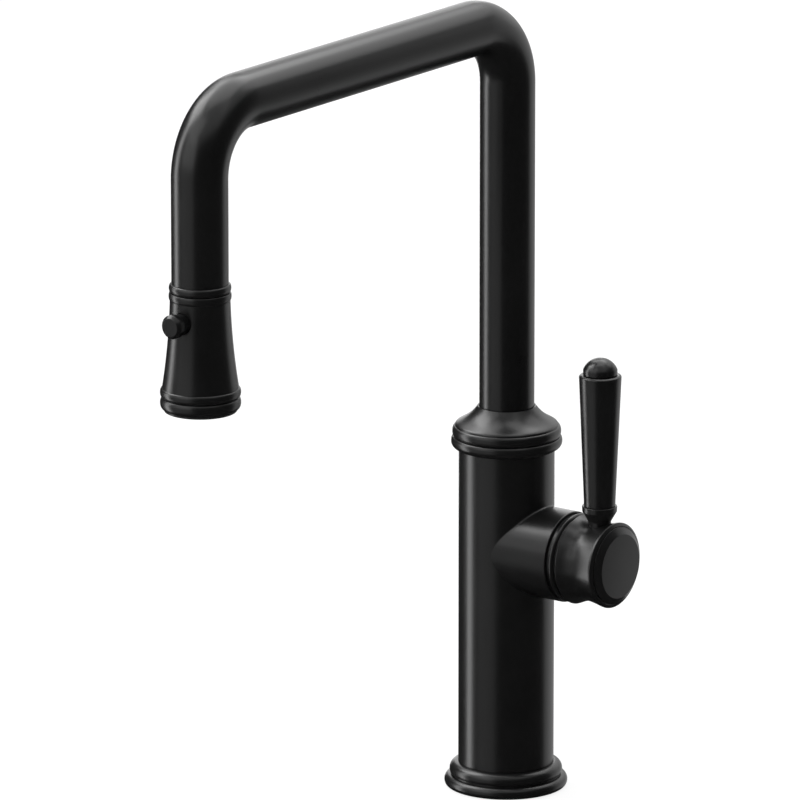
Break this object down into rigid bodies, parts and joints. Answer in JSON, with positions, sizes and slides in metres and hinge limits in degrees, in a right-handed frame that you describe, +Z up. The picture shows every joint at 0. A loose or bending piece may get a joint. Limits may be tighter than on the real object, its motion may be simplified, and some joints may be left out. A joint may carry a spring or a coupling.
{
  "type": "pull-down kitchen faucet",
  "caption": "Deck-mounted kitchen faucet with a square-bend swivel spout, pull-down spray head with push button and a side lever.",
  "frame": {"origin": "centre of the base flange where it rests on the worktop", "axes": "+Z up along the column and the spout's swivel axis, -Y towards the outlet, +X towards the lever hub"},
  "size_m": [0.0931, 0.2813, 0.4285],
  "materials": {
    "matte_black": "satin",
    "brass": "satin",
    "steel": "brushed",
    "rubber": "matte",
    "white_plastic": "matte",
    "grey_plastic": "matte",
    "ceramic": "satin"
  },
  "bodies": {
    "base": {"base_flange": "matte_black", "base_gasket": "rubber", "column": "matte_black", "valve_boss": "matte_black", "shank": "brass", "washer_rubber": "rubber", "washer_steel": "steel", "lock_nut": "brass", "jack_screws": "steel", "collar": "matte_black", "swivel_bush": "white_plastic", "manifold": "brass", "cartridge_base": "grey_plastic", "port_seals": "rubber", "fixed_disc": "ceramic", "cartridge_housing": "white_plastic", "cartridge_nut": "brass", "dome_ring": "matte_black"},
    "spout": {"spout_tube": "matte_black", "spout_stem": "brass", "stem_o_rings": "rubber", "stem_clip": "steel", "outlet_ferrule": "matte_black", "docking_socket": "white_plastic", "dock_magnet": "steel"},
    "spray_head": {"head_shell": "matte_black", "dock_plug": "grey_plastic", "keeper_ring": "steel", "hose_nut": "brass", "waterway": "white_plastic", "head_seal": "rubber", "nozzle_pad": "rubber", "spray_face": "grey_plastic", "aerator": "white_plastic", "button_spring": "steel"},
    "button": {"button_cap": "matte_black", "button_stem": "steel"},
    "rotor": {"valve_rotor": "grey_plastic", "pivot_pin": "steel"},
    "mixing_disc": {"moving_disc": "ceramic", "disc_carrier": "grey_plastic"},
    "handle": {"valve_stem": "steel", "handle_hub": "matte_black", "hub_cap": "matte_black", "hub_screw": "steel", "lever_neck": "matte_black", "lever_grip": "matte_black", "lever_rod": "steel", "lever_finial": "matte_black"}
  },
  "joints": [
    {"name": "spout_swivel", "type": "hinge", "parent": "base", "child": "spout", "pos_m": [0, 0, 0.1615], "axis": [0, 0, 1], "continuous": true},
    {"name": "spray_pull", "type": "slide", "parent": "spout", "child": "spray_head", "axis": [0, 0, -1], "range_m": [0, 0.2], "stiffness_N_per_m": 6, "springref_m": -0.5},
    {"name": "button_push", "type": "slide", "parent": "spray_head", "child": "button", "axis": [0, 1, 0], "range_m": [0, 0.0025], "stiffness_N_per_m": 400, "springref_m": -0.001},
    {"name": "handle_turn", "type": "hinge", "parent": "base", "child": "rotor", "pos_m": [0.032, 0, 0.115], "axis": [1, 0, 0], "range_deg": [-45, 45]},
    {"name": "handle_lift", "type": "hinge", "parent": "rotor", "child": "handle", "pos_m": [0.032, 0, 0.115], "axis": [0, 1, 0], "range_deg": [0, 25]},
    {"name": "disc_slide", "type": "slide", "parent": "rotor", "child": "mixing_disc", "axis": [0, 0, 1], "range_m": [0, 0.0033]}
  ],
  "couplings": [
    {"joint": "disc_slide", "follows": "handle_lift", "m_per_rad": 0.0074}
  ]
}
